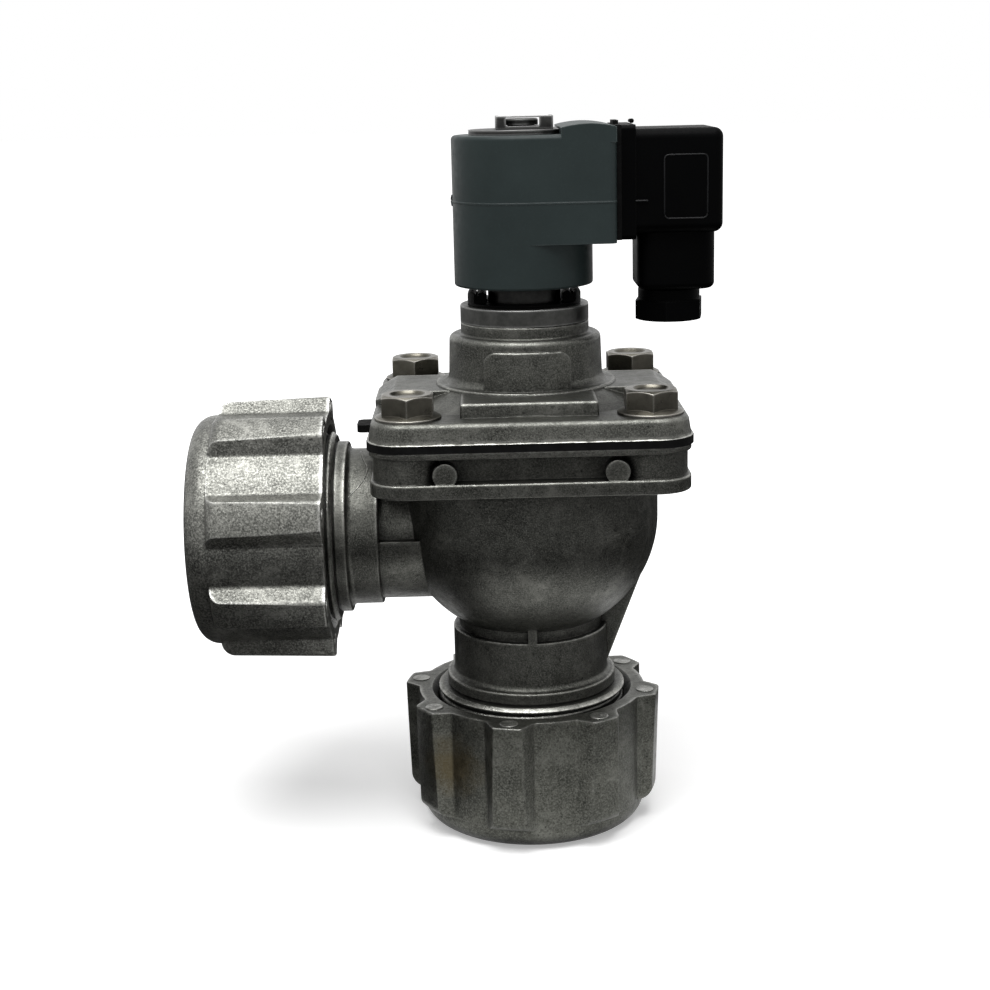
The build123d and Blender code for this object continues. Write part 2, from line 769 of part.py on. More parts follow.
def coil_bobbin():
    """Bobbin inside the can."""
    low = coil_z + 2 * yoke_t + yoke_gap
    high = coil_top_z - 2 * yoke_t - yoke_gap
    rim = yoke_r - yoke_t - yoke_gap
    core = coil_bore_r + bobbin_t
    return turned((coil_bore_r, low), (rim, low), (rim, low + bobbin_t), (core, low + bobbin_t),
                  (core, high - bobbin_t), (rim, high - bobbin_t), (rim, high), (coil_bore_r, high))


def coil_winding():
    """Copper winding on the bobbin."""
    low = coil_z + 2 * yoke_t + yoke_gap + bobbin_t + winding_gap
    high = coil_top_z - 2 * yoke_t - yoke_gap - bobbin_t - winding_gap
    return disc(winding_r, low, high) - disc(coil_bore_r + bobbin_t + winding_gap, low, high)


def coil_washer():
    """Dark steel washer on the coil, cut back at the head."""
    washer = disc(coil_washer_r, coil_top_z, washer_top_z) - disc(core_stub_r + coil_bore_gap, coil_top_z, washer_top_z)
    return washer & block(-coil_r, head_x - yoke_gap, -coil_r, coil_r, coil_top_z, washer_top_z)


def coil_clip():
    """Spring clip: a forked plate in the core's groove, with an upright windowed bridge."""
    plate = block(clip_x0, clip_x1, -clip_half_y, clip_half_y, washer_top_z, washer_top_z + clip_t)
    slot = core_groove_r + 0.1
    plate -= disc(slot, washer_top_z - 1, washer_top_z + 2)
    plate -= block(-slot, slot, 0, clip_half_y + 1, washer_top_z - 1, washer_top_z + 2)
    bridge = block(clip_x0, clip_x1, -clip_half_y, -clip_half_y + clip_t, washer_top_z, clip_top_z)
    bridge -= block(clip_window_x0, clip_window_x1, -clip_half_y - 1, 0, washer_top_z + clip_t,
                    clip_top_z - clip_t / 2)
    for x in (clip_x0, clip_x1 - clip_t):
        bridge += block(x, x + clip_t, -clip_half_y, clip_half_y / 2, washer_top_z, clip_top_z)
    return plate + bridge


def screw_hole(radius, x0, x1):
    """Round hole along X on the plug's axis."""
    hole = Plane.YZ * Circle(radius)
    return Pos(x0, 0, plug_z) * extrude(hole, x1 - x0)


def blade_places():
    """Centres of the three blades on the plug's face, as Y and Z."""
    half = blade_pitch / 2
    return [(0, plug_z - half), (0, plug_z + half), (half, plug_z)]


def blade_box(y, z, gap):
    """One blade's box, grown by a gap; the earth blade stands upright."""
    wide, thick = blade_w / 2 + gap, blade_t / 2 + gap
    half_y, half_z = (thick, wide) if y else (wide, thick)
    return block(block_x - blade_root, block_x + blade_reach, y - half_y, y + half_y, z - half_z, z + half_z)


def blades():
    """The coil's three flat terminals."""
    return [blade_box(y, z, 0) for y, z in blade_places()]


def square_tube(x0, x1, outer, inner):
    """Square frame along X round the plug's axis."""
    return (block(x0, x1, -outer, outer, plug_z - outer, plug_z + outer)
            - block(x0 - 1, x1 + 1, -inner, inner, plug_z - inner, plug_z + inner))


def connector_gasket():
    """Flat gasket between coil and plug, with a small lip over the top."""
    gasket = square_tube(block_x, gasket_x, plug_face_half, pocket_half)
    top = plug_z + plug_face_half
    return gasket + block(block_x, gasket_x, -plug_face_half / 3, plug_face_half / 3, top, top + gasket_lip)


def connector_housing():
    """Plug housing: skirt, box and gland block in one moulding, hollow for the insert."""
    skirt = block(gasket_x, skirt_x, -plug_face_half, plug_face_half,
                  plug_z - plug_face_half, plug_z + plug_face_half)
    skirt = fillet(skirt.edges().filter_by(Axis.X), plug_round / 2)
    box = block(skirt_x - 1, plug_x, -plug_half_y, plug_half_y, plug_low_z, plug_top_z)
    box = fillet(box.edges().filter_by(Axis.X) + box.edges().group_by(Axis.X)[-1], plug_round)
    foot = block(gland_block_x0, gland_block_x1, -gland_block_half, gland_block_half,
                 gland_block_z, plug_low_z + plug_round + 1)
    foot = fillet(foot.edges().filter_by(Axis.Z), gland_block_corner)
    foot = fillet(foot.edges().group_by(Axis.Z)[0], gland_block_round)
    housing = skirt + box + foot
    housing -= block(gasket_x - 1, pocket_x, -pocket_half, pocket_half, plug_z - pocket_half, plug_z + pocket_half)
    housing -= Pos(gland_x, 0, 0) * disc(cable_hole_r, gland_block_z - 1, plug_z)
    housing -= Pos(gland_x, 0, 0) * disc(gland_thread_r, gland_block_z - 1, gland_seal_z)
    housing -= screw_hole(screw_r + screw_gap, pocket_x - 1, plug_x + 1)
    return housing - screw_hole(screw_head_r + screw_gap, plug_x - screw_head_h, plug_x + 1)


def connector_insert():
    """Terminal block in the plug, slotted for the blades."""
    half = pocket_half - insert_gap
    insert = block(gasket_x, insert_x, -half, half, plug_z - half, plug_z + half)
    for y, z in blade_places():
        insert -= blade_box(y, z, blade_gap)
    insert -= Pos(gland_x, 0, 0) * disc(cable_hole_r + insert_way_gap, plug_z - half - 1, plug_z - half / 2)
    return insert - screw_hole(screw_r + screw_gap, gasket_x - 1, insert_x + 1)


def connector_screw():
    """Slotted screw through the plug into the coil."""
    seat = plug_x - screw_head_h
    screw = screw_hole(screw_r, screw_end_x, seat) + screw_hole(screw_head_r, seat, plug_x - edge_round)
    return screw - block(plug_x - 1, plug_x, -screw_slot / 2, screw_slot / 2,
                         plug_z - screw_head_r, plug_z + screw_head_r)


def gland_nut():
    """Cable gland nut: hexagon, round neck and thread, bored for the cable."""
    hexed = extrude(hexagon(gland_hex, gland_angle), gland_hex_h)
    corner = gland_hex / 2 / cos(radians(30))
    hexed &= turned((0, 0), (gland_hex / 2, 0), (corner, 0.5), (corner, gland_hex_h), (0, gland_hex_h))
    neck_top = gland_block_z - gland_gap - gland_hex_z
    neck = turned((0, 0), (gland_neck_r, 0), (gland_neck_r, neck_top, edge_round), (0, neck_top))
    nut = Pos(0, 0, gland_hex_z) * (hexed + neck) + disc(gland_thread_r - thread_gap, gland_hex_z + 1, gland_thread_z)
    return Pos(gland_x, 0, 0) * (nut - disc(cable_hole_r, gland_hex_z - 1, gland_thread_z + 1))


def gland_ring(low, high, radius):
    """Ring in the gland round the cable's way."""
    return Pos(gland_x, 0, 0) * (disc(radius, low, high) - disc(cable_hole_r, low, high))


def gland_washer():
    """Pressure ring between gland nut and grommet."""
    return gland_ring(gland_thread_z, gland_thread_z + gland_washer_t, gland_thread_r - thread_gap)


def gland_seal():
    """Rubber grommet that grips the cable."""
    return gland_ring(gland_thread_z + gland_washer_t, gland_seal_z, gland_thread_r - middle_gap)


def write(name, *solids):
    """One file for each named piece."""
    pieces = [solid for shape in solids for solid in shape.solids()]
    export_step(pieces[0] if len(pieces) == 1 else Compound(children=pieces), "parts/" + name + ".step")


os.makedirs("parts", exist_ok=True)
write("valve_body", valve_body())
write("cover", cover())
write("cover_bolts", *cover_bolts())
write("diaphragm", diaphragm())
write("outlet_nut", port_nut(outlet_rib_angle))
write("outlet_washer", port_washer())
write("outlet_seal", port_seal())
write("inlet_nut", inlet_place * port_nut(inlet_rib_angle))
write("inlet_washer", inlet_place * port_washer())
write("inlet_seal", inlet_place * port_seal())
write("diaphragm_plate", diaphragm_plate())
write("seat_disc", seat_disc())
write("seat_washer", seat_washer())
write("diaphragm_rivet", diaphragm_rivet())
write("main_spring", main_spring())
write("pilot_base", pilot_base())
write("pilot_seal", pilot_seal())
write("guide_tube", guide_tube())
write("tube_seal", tube_seal())
write("tube_nut", tube_nut())
write("dust_ring", dust_ring())
write("plunger", plunger())
write("plunger_seal", plunger_seal())
write("plunger_spring", plunger_spring())
write("fixed_core", fixed_core())
write("coil_housing", coil_housing())
write("coil_yoke", coil_yoke())
write("coil_bobbin", coil_bobbin())
write("coil_winding", coil_winding())
write("coil_terminals", *blades())
write("coil_washer", coil_washer())
write("coil_clip", coil_clip())
write("connector_gasket", connector_gasket())
write("connector_housing", connector_housing())
write("connector_insert", connector_insert())
write("connector_screw", connector_screw())
write("gland_nut", gland_nut())
write("gland_washer", gland_washer())
write("gland_seal", gland_seal())
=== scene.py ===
from math import cos, pi, radians, sin

import bmesh
import bpy
from mathutils import Matrix, Vector


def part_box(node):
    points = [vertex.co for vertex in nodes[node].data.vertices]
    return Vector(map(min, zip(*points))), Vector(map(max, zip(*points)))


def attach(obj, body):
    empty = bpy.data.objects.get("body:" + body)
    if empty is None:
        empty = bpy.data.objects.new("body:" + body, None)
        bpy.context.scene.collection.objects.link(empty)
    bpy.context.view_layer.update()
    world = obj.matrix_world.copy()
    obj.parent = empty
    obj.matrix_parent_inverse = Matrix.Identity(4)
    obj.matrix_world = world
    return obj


# Looks for the pulse valve: materials, threads, cast and moulded detail, studio and camera.
# Sizes and places are millimetres in the part's own frame, unless a comment says metres.

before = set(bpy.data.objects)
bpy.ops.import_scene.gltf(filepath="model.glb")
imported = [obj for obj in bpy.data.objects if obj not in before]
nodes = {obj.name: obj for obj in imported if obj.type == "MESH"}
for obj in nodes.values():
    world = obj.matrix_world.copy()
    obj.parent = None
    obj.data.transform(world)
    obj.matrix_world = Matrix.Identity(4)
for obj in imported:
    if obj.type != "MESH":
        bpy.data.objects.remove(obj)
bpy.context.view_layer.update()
MM = 0.001

# Port threads. Heights run from the face of a nut that is fully on.
THREAD_R = 26.0
THREAD_DEPTH = 0.7
THREAD_PITCH = 2.0
THREAD_LOW = 13.0
THREAD_HIGH = 37.0
THREAD_FOOT = 0.05
INLET_Z = 83.9

# Ejector marks on the nuts
RIB_COUNT = 8
OUTLET_RIB_ANGLE = -102.5
INLET_RIB_ANGLE = -18.0
MARK_AT = 32.0
MARK_Z = 36.7
MARK_R = 2.5
MARK_H = 0.22

# Joint between flange and cover
LIP_HALF = 40.95
LIP_CORNER = 8.95
FLASH_HALF = 41.2
FLASH_CORNER = 9.2
COVER_LIP_Z = 114.1
FLASH_Z = 113.2
FLANGE_LIP_Z = 112.3
LIP_WANDER = 0.25

# Parting line on the inlet's neck
NECK_R = 21.38
SEAM_LOW_Z = 95.6
SEAM_RISE = 9.6
SEAM_X = -48.6
SEAM_SWING = 5.6
SEAM_HOOK = 2.2
SEAM_HOOK_FROM = 0.72

# Raised lines on the plug, the gasket's hook and the coil's tab
PLUG_SIDE_Y = -14.0
FRAME_X = (37.3, 46.0)
FRAME_Z = (168.0, 181.7)
FRAME_CORNER = 1.2
FRAME_LINE_R = 0.2
PLUG_RIB_AT = (28.6, -14.48, 171.5)
PLUG_RIB_STEP = 0.33
PLUG_RIB_R = 0.24
HOOK_AT = (28.7, -3.4, 191.2)
HOOK_STEP = 0.9
HOOK_R = 0.62
TAB_AT = (-18.42, -0.2, 170.4)
TAB_STEP = 0.32
TAB_R = 0.28

# Studio, in metres
FLOOR_SIZE = 14
NEAR_FLOOR = 0.12
FAR_FLOOR = 0.45
LIGHT_AIM = (-0.01, 0, 0.09)

# Camera, fitted to the photograph: metres, millimetres of lens, and radians
CAMERA_AT = (-0.01153, -0.46157, 0.2020)
LENS = 62.82
YAW = -0.0054
PITCH = 0.2348
ROLL = -0.0238

WHITE = (1.0, 1.0, 1.0)
# Near-black that grooves and corners are darkened towards: painted shade.
PAINTED_SHADE = (0.004, 0.004, 0.004)


# Node trees

def scaled(colour, share, lift=0.0):
    """A colour made darker or lighter."""
    return tuple(min(1.0, share * channel + lift) for channel in colour)


class Tree:
    """A node tree, with short calls to add and link its nodes."""

    def __init__(self, tree):
        self.tree = tree
        tree.nodes.clear()

    def put(self, socket, value):
        """Set an input to a number or colour, or link it to an output."""
        if isinstance(value, bpy.types.NodeSocket):
            self.tree.links.new(value, socket)
        elif isinstance(value, tuple) and socket.type == "RGBA":
            socket.default_value = (*value[:3], 1.0)
        else:
            socket.default_value = value

    def add(self, kind, **values):
        """New node, with its inputs set by their names."""
        node = self.tree.nodes.new("ShaderNode" + kind)
        for name, value in values.items():
            self.put(node.inputs[name.replace("_", " ")], value)
        return node

    def math(self, kind, a, b):
        node = self.add("Math")
        node.operation = kind
        self.put(node.inputs[0], a)
        self.put(node.inputs[1], b)
        return node.outputs[0]

    def background_rays(self):
        """1 for rays that see the background: the camera's, and those off metal or through glass."""
        path = self.add("LightPath").outputs
        seen = self.math("MAXIMUM", path["Is Camera Ray"], path["Is Glossy Ray"])
        return self.math("MAXIMUM", seen, path["Is Transmission Ray"])


class Look(Tree):
    """One material."""

    def __init__(self, name):
        self.material = bpy.data.materials.new(name)
        self.material.use_nodes = True
        super().__init__(self.material.node_tree)
        self.out = self.add("OutputMaterial")
        self.shader = self.add("BsdfPrincipled")
        self.put(self.out.inputs[0], self.shader.outputs[0])
        self.coords = self.add("TexCoord").outputs

    def noise(self, size_mm, detail=4.0, rough=0.6, stretch=(1, 1, 1), offset=0.0, distortion=0.0):
        """Noise from 0 to 1, with patches of about the given size."""
        place = self.add("Mapping", Vector=self.coords["Object"], Location=(offset, offset, offset),
                         Scale=tuple(share / (size_mm * MM) for share in stretch))
        return self.add("TexNoise", Vector=place.outputs[0], Scale=1.0, Detail=detail, Roughness=rough,
                        Distortion=distortion).outputs["Fac"]

    def ramp(self, fac, *stops):
        """Colour ramp from (position, grey or colour) stops."""
        node = self.add("ValToRGB", Fac=fac)
        elements = node.color_ramp.elements
        while len(elements) < len(stops):
            elements.new(0.5)
        for element, (position, value) in zip(elements, stops):
            element.position = position
            element.color = (*(value if isinstance(value, tuple) else (value, value, value)), 1.0)
        return node.outputs[0]

    def mix(self, fac, a, b):
        node = self.add("Mix")
        node.data_type = "RGBA"
        colours = [socket for socket in node.inputs if socket.type == "RGBA"]
        self.put(node.inputs["Factor"], fac)
        self.put(colours[0], a)
        self.put(colours[1], b)
        return [socket for socket in node.outputs if socket.type == "RGBA"][0]

    def bump(self, height, strength, depth_mm, **normal):
        return self.add("Bump", Strength=strength, Distance=depth_mm * MM, Height=height, **normal).outputs[0]

    def bevel(self, radius_mm):
        node = self.add("Bevel", Radius=radius_mm * MM)
        node.samples = 4
        return node.outputs[0]

    def occlusion(self, reach_mm, inside):
        node = self.add("AmbientOcclusion", Distance=reach_mm * MM)
        node.samples = 6
        node.inside = inside
        node.only_local = inside
        return node.outputs["AO"]

    def edges(self, radius_mm):
        """White along sharp edges, where the rounded normal leaves the true one."""
        dot = self.add("VectorMath")
        dot.operation = "DOT_PRODUCT"
        self.put(dot.inputs[0], self.bevel(radius_mm))
        self.put(dot.inputs[1], self.add("NewGeometry").outputs["Normal"])
        turn = self.math("SUBTRACT", 1.0, dot.outputs["Value"])
        return self.ramp(turn, (0.02, 0.0), (0.25, 1.0))

    def rims(self, reach_mm):
        """White on outer edges and small rounds, black on broad faces."""
        thin = self.math("SUBTRACT", 1.0, self.occlusion(reach_mm, True))
        return self.ramp(thin, (0.12, 0.0), (0.38, 1.0))

    def facing_up(self):
        """White where the surface faces up."""
        height = self.add("SeparateXYZ", Vector=self.coords["Normal"]).outputs["Z"]
        return self.ramp(height, (0.05, 0.0), (0.5, 1.0))

    def open_air(self, reach_mm, low, high):
        """White on open faces, black in grooves and corners."""
        return self.ramp(self.occlusion(reach_mm, False), (low, 0.0), (high, 1.0))

    def stained(self, base, where, radius, colour):
        """A soft-edged blot of another colour round a place in metres."""
        away = self.add("VectorMath")
        away.operation = "DISTANCE"
        self.put(away.inputs[0], self.coords["Object"])
        self.put(away.inputs[1], where)
        ragged = self.math("MULTIPLY", self.noise(5, 5, 0.7, offset=11.0), radius)
        reach = self.math("DIVIDE", self.math("ADD", away.outputs["Value"], ragged), 2 * radius)
        return self.mix(self.ramp(reach, (0.38, 0.75), (0.75, 0.0)), base, colour)

    def finish(self, colour, rough, metal, normal=None, specular=None):
        """Set the shader's inputs and return the material."""
        self.put(self.shader.inputs["Base Color"], colour)
        self.put(self.shader.inputs["Roughness"], rough)
        self.put(self.shader.inputs["Metallic"], metal)
        if normal is not None:
            self.put(self.shader.inputs["Normal"], normal)
        if specular is not None:
            self.put(self.shader.inputs["Specular IOR Level"], specular)
        return self.material


# Materials

def cast_metal(name, dark, mid, light, wear_and_highlight, grain=0.35, stain=None):
    """Die-cast aluminium: mottled oxide, sparkling grain, rubbed edges with a painted highlight that is
    stronger where they face up, and painted shade in the corners.
    """
    look = Look(name)
    pits = look.noise(1.3, 4, 0.7, offset=3.1)
    sparkle = look.ramp(look.noise(grain, 3, 0.7), (0.44, 0.0), (0.66, 0.8))
    flecks = look.ramp(look.noise(grain * 1.2, 3, 0.7, offset=9.0), (0.3, 0.75), (0.46, 0.0))
    base = look.ramp(look.noise(9, 5, 0.65, distortion=0.4), (0.3, dark), (0.55, mid), (0.78, light))
    base = look.mix(sparkle, base, light)
    base = look.mix(flecks, base, scaled(dark, 0.35))
    base = look.mix(look.ramp(pits, (0.28, 0.8), (0.42, 0.0)), base, scaled(dark, 0.35))
    patchy = look.ramp(look.noise(2.2, 5, 0.75, offset=7.0), (0.36, 0.2), (0.6, 1.0))
    # Painted highlight: the rims mask is partly real rubbing and partly a painted highlight on outer edges
    # and rounds, and it is made stronger where the surface faces up, as if lit from above.
    lit_from_above = look.math("ADD", 0.22, look.math("MULTIPLY", look.facing_up(), 0.78))
    rubbed_and_lit = look.math("MULTIPLY", look.math("MULTIPLY", look.rims(1.3), patchy), lit_from_above)
    base = look.mix(rubbed_and_lit, base, wear_and_highlight)
    if stain:
        base = look.stained(base, *stain)
    # Painted shade: grooves and corners are darkened towards black where the occlusion is high.
    base = look.mix(look.open_air(7.0, 0.35, 0.8), look.mix(0.8, base, PAINTED_SHADE), base)
    rough = look.ramp(look.noise(2.5, 4, 0.7, offset=5.0), (0.3, 0.3), (0.7, 0.5))
    rough = look.math("SUBTRACT", rough, look.math("MULTIPLY", rubbed_and_lit, 0.12))
    height = look.mix(0.5, look.noise(grain * 1.6, 4, 0.7, offset=2.0), pits)
    return look.finish(base, rough, 0.92, look.bump(height, 0.8, 0.2, Normal=look.bevel(0.45)))


def plated(name, low, high, rough, grain=0.5, shade=(2.5, 0.3, 0.75)):
    """Plated or bare steel: faint colour drift, edges lightened as wear and painted highlight, painted shade
    in grooves, fine scratches.
    """
    look = Look(name)
    base = look.ramp(look.noise(4, 5, 0.7), (0.3, low), (0.72, high))
    # Worn edges and painted highlight: outer edges and small rounds are lightened.
    base = look.mix(look.math("MULTIPLY", look.rims(0.7), 0.85), base, scaled(high, 1.5, 0.25))
    # Painted shade: grooves and corners are darkened towards black where the occlusion is high.
    base = look.mix(look.open_air(*shade), look.mix(0.85, base, PAINTED_SHADE), base)
    scratch = look.noise(grain, 3, 0.6, stretch=(1, 1, 0.15))
    roughness = look.ramp(look.noise(3, 4, 0.7, offset=4.0), (0.3, rough[0]), (0.7, rough[1]))
    return look.finish(base, roughness, 1.0, look.bump(scratch, 0.25, 0.03, Normal=look.bevel(0.25)))


def moulded(name, low, high, rough=(0.38, 0.52), paler_edge_and_highlight=None, specular=0.4):
    """Moulded plastic: slight colour drift, fine grain, paler edges that are part wear and part painted
    highlight.
    """
    look = Look(name)
    base = look.ramp(look.noise(14, 4, 0.6), (0.3, low), (0.7, high))
    flecks = look.ramp(look.noise(0.6, 3, 0.7, offset=6.0), (0.55, 0.0), (0.8, 0.35))
    base = look.mix(flecks, base, scaled(high, 1.5))
    if paler_edge_and_highlight:
        # Paler edges: part wear, part painted highlight on the rounds.
        base = look.mix(look.math("MULTIPLY", look.edges(0.5), 0.55), base, paler_edge_and_highlight)
    roughness = look.ramp(look.noise(2.2, 4, 0.7, offset=4.0), (0.3, rough[0]), (0.7, rough[1]))
    normal = look.bump(look.noise(0.35, 4, 0.7, offset=1.0), 0.3, 0.03, Normal=look.bevel(0.3))
    return look.finish(base, roughness, 0.0, normal, specular)


def rubber(name):
    """Black rubber, matt."""
    look = Look(name)
    base = look.ramp(look.noise(3, 5, 0.7), (0.3, (0.0012, 0.0012, 0.0012)), (0.75, (0.005, 0.005, 0.005)))
    roughness = look.ramp(look.noise(1.5, 4, 0.7, offset=4.0), (0.3, 0.6), (0.7, 0.85))
    return look.finish(base, roughness, 0.0, look.bump(look.noise(0.7, 4, 0.7), 0.5, 0.08), 0.08)


# The wear colours also paint a highlight along the edges.
cast = cast_metal("cast_body", dark=(0.034, 0.035, 0.031), mid=(0.075, 0.076, 0.068),
                  light=(0.175, 0.175, 0.158), wear_and_highlight=(0.54, 0.54, 0.50))
# Painted light: the inlet nut takes a much lighter copy of the same cast metal, standing in for the stronger
# light that falls on it.
lit_inlet_nut_cast = cast_metal("cast_inlet_nut_painted_lit", dark=(0.052, 0.053, 0.048), mid=(0.12, 0.121, 0.110),
                      light=(0.36, 0.36, 0.33), wear_and_highlight=(0.75, 0.75, 0.72), grain=0.5)
low_cast = cast_metal("cast_outlet_nut", dark=(0.034, 0.035, 0.030), mid=(0.070, 0.071, 0.061),
                      light=(0.15, 0.152, 0.135), wear_and_highlight=(0.34, 0.34, 0.32), grain=0.5,
                      stain=((-0.0215, -0.023, 0.022), 0.010, (0.090, 0.072, 0.038)))
turned = plated("turned_base", (0.055, 0.056, 0.053), (0.12, 0.12, 0.115), (0.3, 0.5))
bolt_steel = plated("bolt_plating", (0.10, 0.094, 0.077), (0.17, 0.160, 0.134), (0.26, 0.36), grain=1.2,
                    shade=(5.0, 0.5, 0.92))
bright_steel = plated("bright_steel", (0.35, 0.35, 0.34), (0.62, 0.62, 0.60), (0.18, 0.36))
dark_steel_and_shade = plated("blackened_steel_and_painted_shade", (0.018, 0.018, 0.018), (0.045, 0.045, 0.043), (0.35, 0.5))
clip_steel = plated("clip_steel", (0.03, 0.03, 0.029), (0.07, 0.07, 0.068), (0.3, 0.42),
                    shade=(4.0, 0.45, 0.85))
wire_steel = plated("spring_wire", (0.30, 0.30, 0.29), (0.5, 0.5, 0.48), (0.2, 0.35))
copper = plated("copper_wire", (0.45, 0.20, 0.10), (0.62, 0.30, 0.16), (0.3, 0.5))
black_rubber = rubber("black_rubber")
coil_plastic = moulded("coil_moulding", (0.0125, 0.0195, 0.0195), (0.0165, 0.025, 0.025),
                       paler_edge_and_highlight=(0.11, 0.13, 0.13), specular=0.22)
black_plastic = moulded("black_moulding", (0.0004, 0.0004, 0.0005), (0.0008, 0.0009, 0.0010), (0.4, 0.52),
                        paler_edge_and_highlight=(0.006, 0.006, 0.006), specular=0.03)
line_plastic = moulded("worn_black_moulding", (0.004, 0.004, 0.0045), (0.009, 0.009, 0.010), (0.35, 0.45),
                       specular=0.2)
pale_plastic = moulded("pale_moulding", (0.42, 0.40, 0.34), (0.5, 0.48, 0.42))

looks = {
    cast: ["valve_body", "cover"],
    lit_inlet_nut_cast: ["inlet_nut"],
    low_cast: ["outlet_nut"],
    turned: ["pilot_base", "diaphragm_rivet"],
    bolt_steel: ["cover_bolts"],
    clip_steel: ["coil_clip"],
    bright_steel: ["outlet_washer", "inlet_washer", "diaphragm_plate", "seat_washer", "guide_tube", "plunger",
                   "coil_yoke", "coil_terminals", "connector_screw"],
    # The fixed core takes the blackened steel so that the clip's window shows dark: painted shade. The tube
    # nut and coil washer are dark steel.
    dark_steel_and_shade: ["tube_nut", "coil_washer", "fixed_core"],
    wire_steel: ["main_spring", "plunger_spring"],
    copper: ["coil_winding"],
    black_rubber: ["diaphragm", "outlet_seal", "inlet_seal", "seat_disc", "pilot_seal", "tube_seal",
                   "plunger_seal", "connector_gasket", "gland_seal"],
    coil_plastic: ["coil_housing"],
    black_plastic: ["dust_ring", "connector_housing", "connector_insert", "gland_nut"],
    pale_plastic: ["coil_bobbin", "gland_washer"],
}
for material, names in looks.items():
    for name in names:
        mesh = nodes[name].data
        mesh.materials.clear()
        mesh.materials.append(material)


# Small pieces

def round_ring(bm, radius, height, steps):
    """Vertices of a level circle."""
    turns = [2 * pi * i / steps for i in range(steps)]
    return [bm.verts.new(Vector((radius * cos(a), radius * sin(a), height)) * MM) for a in turns]


def skin(bm, rings, closed=False):
    """Faces between rings of as many vertices."""
    pairs = list(zip(rings, rings[1:])) + ([(rings[-1], rings[0])] if closed else [])
    for a, b in pairs:
        for i in range(len(a)):
            k = (i + 1) % len(a)
            bm.faces.new((a[i], a[k], b[k], b[i]))


def close_ends(bm, rings):
    bm.faces.new(list(reversed(rings[0])))
    bm.faces.new(rings[-1])


def new_piece(name, bm, material, body, place=Matrix.Identity(4)):
    """The mesh becomes a smooth piece that rides on a body."""
    mesh = bpy.data.meshes.new(name)
    bm.transform(place)
    bm.to_mesh(mesh)
    bm.free()
    mesh.materials.append(material)
    for polygon in mesh.polygons:
        polygon.use_smooth = True
    piece = bpy.data.objects.new(name, mesh)
    bpy.context.scene.collection.objects.link(piece)
    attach(piece, body)


def thread(name, place, steps=72):
    """Helical crests on a port's plain cylinder, tapered off at both ends."""
    bm = bmesh.new()
    count = int(((THREAD_HIGH - THREAD_LOW) / THREAD_PITCH - 1) * steps)
    fade_steps = steps / 3
    root = THREAD_R - THREAD_DEPTH
    foot = root - THREAD_FOOT
    rings = []
    for i in range(count + 1):
        angle = 2 * pi * i / steps
        fade = min(1.0, i / fade_steps, (count - i) / fade_steps)
        crest = root + max(0.02, THREAD_DEPTH * fade)
        flank = foot + 0.08
        mid = THREAD_LOW + THREAD_PITCH / 2 + THREAD_PITCH * i / steps
        profile = [(foot, -0.46), (flank, -0.44), (crest, -0.12), (crest, 0.12), (flank, 0.44), (foot, 0.46)]
        rings.append([bm.verts.new(Vector((r * cos(angle), r * sin(angle), mid + share * THREAD_PITCH)) * MM)
                      for r, share in profile])
    skin(bm, rings)
    close_ends(bm, rings)
    bmesh.ops.recalc_face_normals(bm, faces=bm.faces)
    new_piece(name, bm, cast, "valve", place)


def disc_mark(name, place, material, body, steps=40):
    """Low round ejector mark with a soft rim and a dished middle."""
    bm = bmesh.new()
    profile = [(1.0, -0.3), (1.0, 0.4), (0.93, 0.9), (0.86, 1.0), (0.78, 0.8), (0.3, 0.55)]
    rings = [round_ring(bm, MARK_R * share, MARK_H * level, steps) for share, level in profile]
    skin(bm, rings)
    middle = bm.verts.new(Vector((0, 0, MARK_H * 0.5)) * MM)
    for i in range(steps):
        bm.faces.new((rings[-1][i], rings[-1][(i + 1) % steps], middle))
    bm.faces.new(list(reversed(rings[0])))
    new_piece(name, bm, material, body, place)


def bead(name, points, radii, material, body, closed=False, sides=10):
    """Round bead of varying thickness along a row of points."""
    bm = bmesh.new()
    points = [Vector(point) for point in points]
    count = len(points)
    rings = []
    for i, (point, radius) in enumerate(zip(points, radii)):
        before = points[(i - 1) % count] if closed or i else points[0]
        after = points[(i + 1) % count] if closed or i < count - 1 else points[-1]
        along = (after - before).normalized()
        side = along.cross(Vector((0, 0, 1)))
        side = side.normalized() if side.length > 0.05 else Vector((0, 1, 0))
        over = side.cross(along).normalized()
        turns = [2 * pi * j / sides for j in range(sides)]
        rings.append([bm.verts.new((point + radius * (cos(a) * side + sin(a) * over)) * MM) for a in turns])
    skin(bm, rings, closed)
    if not closed:
        close_ends(bm, rings)
    bmesh.ops.recalc_face_normals(bm, faces=bm.faces)
    new_piece(name, bm, material, body)


def wavy(i, seed):
    """Uneven but repeatable value from 0 to 1 along a bead."""
    return 0.5 + 0.27 * sin(0.37 * i + seed) + 0.16 * sin(1.13 * i + 2.1 * seed) + 0.07 * sin(2.9 * i + seed)


def rounded_square(half, corner, z, step=0.6):
    """Points round a square with rounded corners."""
    points = []
    straight = half - corner
    for turn in range(4):
        spin = Matrix.Rotation(turn * pi / 2, 3, "Z")
        for i in range(int(2 * straight / step)):
            points.append(spin @ Vector((half, -straight + i * step, z)))
        for i in range(int(corner * pi / 2 / step)):
            a = i * step / corner
            points.append(spin @ Vector((straight + corner * cos(a), straight + corner * sin(a), z)))
    return points


def joint_line(name, half, corner, z, thick, swing, seed, material):
    """Uneven bead all round the joint between flange and cover."""
    outline = rounded_square(half, corner, z)
    radii = [thick + swing * wavy(i, seed) ** 2 for i in range(len(outline))]
    drift = [LIP_WANDER * (wavy(i, seed + 2) - 0.5) for i in range(len(outline))]
    points = [point + Vector((0, 0, rise)) for point, rise in zip(outline, drift)]
    bead(name, points, radii, material, "valve", closed=True)


